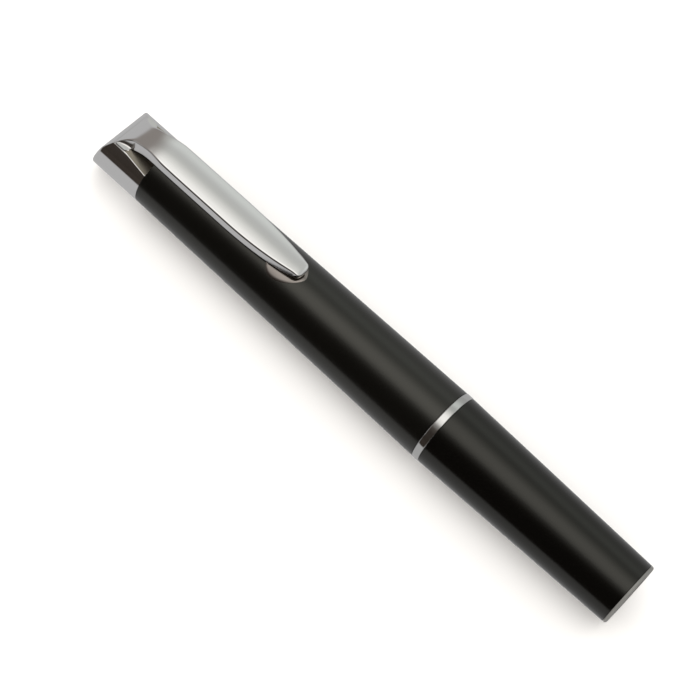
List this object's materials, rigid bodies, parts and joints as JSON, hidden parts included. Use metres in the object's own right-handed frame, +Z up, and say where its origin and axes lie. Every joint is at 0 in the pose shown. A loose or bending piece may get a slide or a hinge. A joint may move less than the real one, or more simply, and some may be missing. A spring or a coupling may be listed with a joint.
{
  "type": "flashlight",
  "caption": "Pen-shaped pocket flashlight: tapered black barrel and screw-on head, bright mid ring, slanted tail cap, and a pocket clip pressed onto a contact to switch it.",
  "frame": {"origin": "under the middle of the bounding box, on the plane that the trim ring lies on", "axes": "+X along the pen from the tail to the lamp, +Z up through the clip"},
  "size_m": [0.1198, 0.014, 0.0158],
  "materials": {
    "black_body": "satin black anodised",
    "chrome": "polished bright plating",
    "contact_steel": "bare bright metal",
    "spring_steel": "plated wire",
    "sleeve_metal": "turned bare metal",
    "white_plastic": "moulded",
    "contact_brass": "turned",
    "rubber": "matt",
    "cell_wrap": "plain foil wrap",
    "cell_steel": "plated",
    "lens_clear": "clear polished",
    "led_clear": "clear moulded",
    "reflector": "bright vacuum plating",
    "board_green": "solder mask",
    "resistor_black": "moulded"
  },
  "bodies": {
    "barrel": {"barrel_tube": "black_body", "contact_plate": "contact_steel", "tail_cap": "chrome", "cap_insulator": "white_plastic", "tail_spring": "spring_steel"},
    "clip": {"clip": "chrome", "clip_rivet": "cell_steel"},
    "ring": {"trim_ring": "chrome", "seal_ring": "rubber"},
    "head": {"head_shell": "black_body", "threaded_sleeve": "sleeve_metal", "positive_contact": "contact_brass", "contact_disc": "white_plastic", "ground_ring": "contact_brass", "driver_board": "board_green", "board_resistor": "resistor_black", "led_lead_left": "cell_steel", "led_lead_right": "cell_steel", "led_holder": "white_plastic", "led": "led_clear", "reflector": "reflector", "lens_gasket": "rubber", "lens": "lens_clear", "lens_bezel": "black_body"},
    "cells": {"rear_cell_base": "cell_steel", "rear_cell_can": "cell_wrap", "rear_cell_washer": "white_plastic", "rear_cell_nub": "cell_steel", "front_cell_base": "cell_steel", "front_cell_can": "cell_wrap", "front_cell_washer": "white_plastic", "front_cell_nub": "cell_steel"}
  },
  "joints": [
    {"name": "clip_flex", "type": "hinge", "parent": "barrel", "child": "clip", "pos_m": [-0.05432, 0, 0.01188], "axis": [0, -1, 0], "range_deg": [-0.5, 4.5], "stiffness_Nm_per_rad": 1.5},
    {"name": "head_travel", "type": "slide", "parent": "barrel", "child": "ring", "axis": [1, 0, 0], "range_m": [0, 0.004]},
    {"name": "head_twist", "type": "hinge", "parent": "ring", "child": "head", "pos_m": [0.01758, 0, 0.00698], "axis": [1, 0, 0], "range_deg": [0, 1440.5]},
    {"name": "cells_travel", "type": "slide", "parent": "barrel", "child": "cells", "axis": [1, 0, 0], "range_m": [0, 0.00402], "deforming": ["tail_spring"]}
  ],
  "couplings": [
    {"joint": "head_twist", "follows": "head_travel", "rad_per_m": 6283.2},
    {"joint": "cells_travel", "follows": "head_travel", "ratio": 1}
  ]
}
